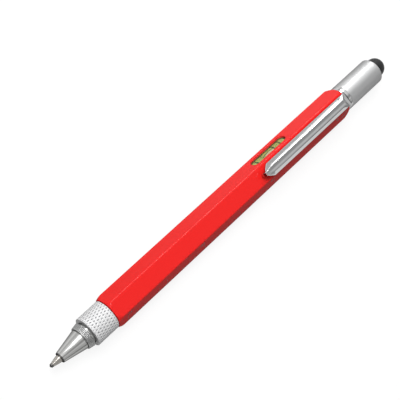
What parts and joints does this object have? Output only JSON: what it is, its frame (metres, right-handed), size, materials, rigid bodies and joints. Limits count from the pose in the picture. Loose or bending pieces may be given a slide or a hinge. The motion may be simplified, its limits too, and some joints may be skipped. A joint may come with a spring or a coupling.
{
  "type": "multifunction ballpoint pen",
  "caption": "Hexagonal metal ballpoint pen with ruled faces, a spirit level, a pocket clip, a knurled twist nose, a screwdriver bit under a pull-off cap and a stylus tip.",
  "frame": {"origin": "under the middle of the pen's length, on the plane that it rests on, with the tip out and the cap on", "axes": "+X along the pen from the ballpoint to the stylus tip, +Z out of the face under the clip, +Y to the right seen from the tail with the clip up, towards the spirit level's side"},
  "size_m": [0.1564, 0.0114, 0.0136],
  "materials": {
    "writing_ball": "polished",
    "refill_tip": "satin",
    "refill_tube": "satin",
    "refill_ink": "thick ink paste",
    "refill_plug": "moulded",
    "refill_carrier": "moulded",
    "nose_cone": "mirror",
    "knurled_ring": "satin, diamond knurled",
    "twist_tube": "machined",
    "tube_clip": "spring steel",
    "barrel": "red metallic lacquer with printed scales",
    "nose_bush": "machined",
    "guide_sleeve": "moulded",
    "clip_ring": "mirror",
    "bit_holder": "polished",
    "bit_magnet": "nickel plated",
    "cap_friction_ring": "matt",
    "vial_holder": "moulded",
    "level_vial": "clear",
    "vial_plug": "moulded",
    "level_fluid": "clear green liquid",
    "clip_arm": "mirror",
    "screwdriver_bit": "ground tool steel",
    "cap_shell": "satin",
    "stylus_post": "turned",
    "stylus_tip": "soft matt"
  },
  "bodies": {
    "pen_body": {"barrel": "barrel", "nose_bush": "nose_bush", "guide_sleeve": "guide_sleeve", "vial_holder": "vial_holder", "level_vial": "level_vial", "vial_plug": "vial_plug", "level_fluid": "level_fluid", "clip_ring": "clip_ring", "bit_holder": "bit_holder", "bit_magnet": "bit_magnet", "cap_friction_ring": "cap_friction_ring"},
    "nose": {"nose_cone": "nose_cone", "knurled_ring": "knurled_ring", "twist_tube": "twist_tube", "tube_clip": "tube_clip"},
    "refill": {"writing_ball": "writing_ball", "refill_tip": "refill_tip", "refill_tube": "refill_tube", "refill_ink": "refill_ink", "refill_plug": "refill_plug", "refill_carrier": "refill_carrier"},
    "clip": {"clip_arm": "clip_arm"},
    "bit": {"screwdriver_bit": "screwdriver_bit"},
    "cap": {"cap_shell": "cap_shell", "stylus_post": "stylus_post", "stylus_tip": "stylus_tip"}
  },
  "joints": [
    {"name": "nose_twist", "type": "hinge", "parent": "pen_body", "child": "nose", "pos_m": [-0.05965, 0, 0.005], "axis": [1, 0, 0], "range_deg": [0, 180]},
    {"name": "refill_slide", "type": "slide", "parent": "pen_body", "child": "refill", "axis": [1, 0, 0], "range_m": [0, 0.0045]},
    {"name": "clip_flex", "type": "hinge", "parent": "pen_body", "child": "clip", "pos_m": [0.0549, 0, 0.00968], "axis": [0, 1, 0], "range_deg": [0, 5], "stiffness_Nm_per_rad": 0.05},
    {"name": "bit_slide", "type": "slide", "parent": "pen_body", "child": "bit", "axis": [1, 0, 0], "range_m": [0, 0.002]},
    {"name": "cap_pull", "type": "slide", "parent": "pen_body", "child": "cap", "axis": [1, 0, 0], "range_m": [0, 0.03]}
  ],
  "couplings": [
    {"joint": "nose_twist", "follows": "refill_slide", "rad_per_m": 698.13}
  ]
}
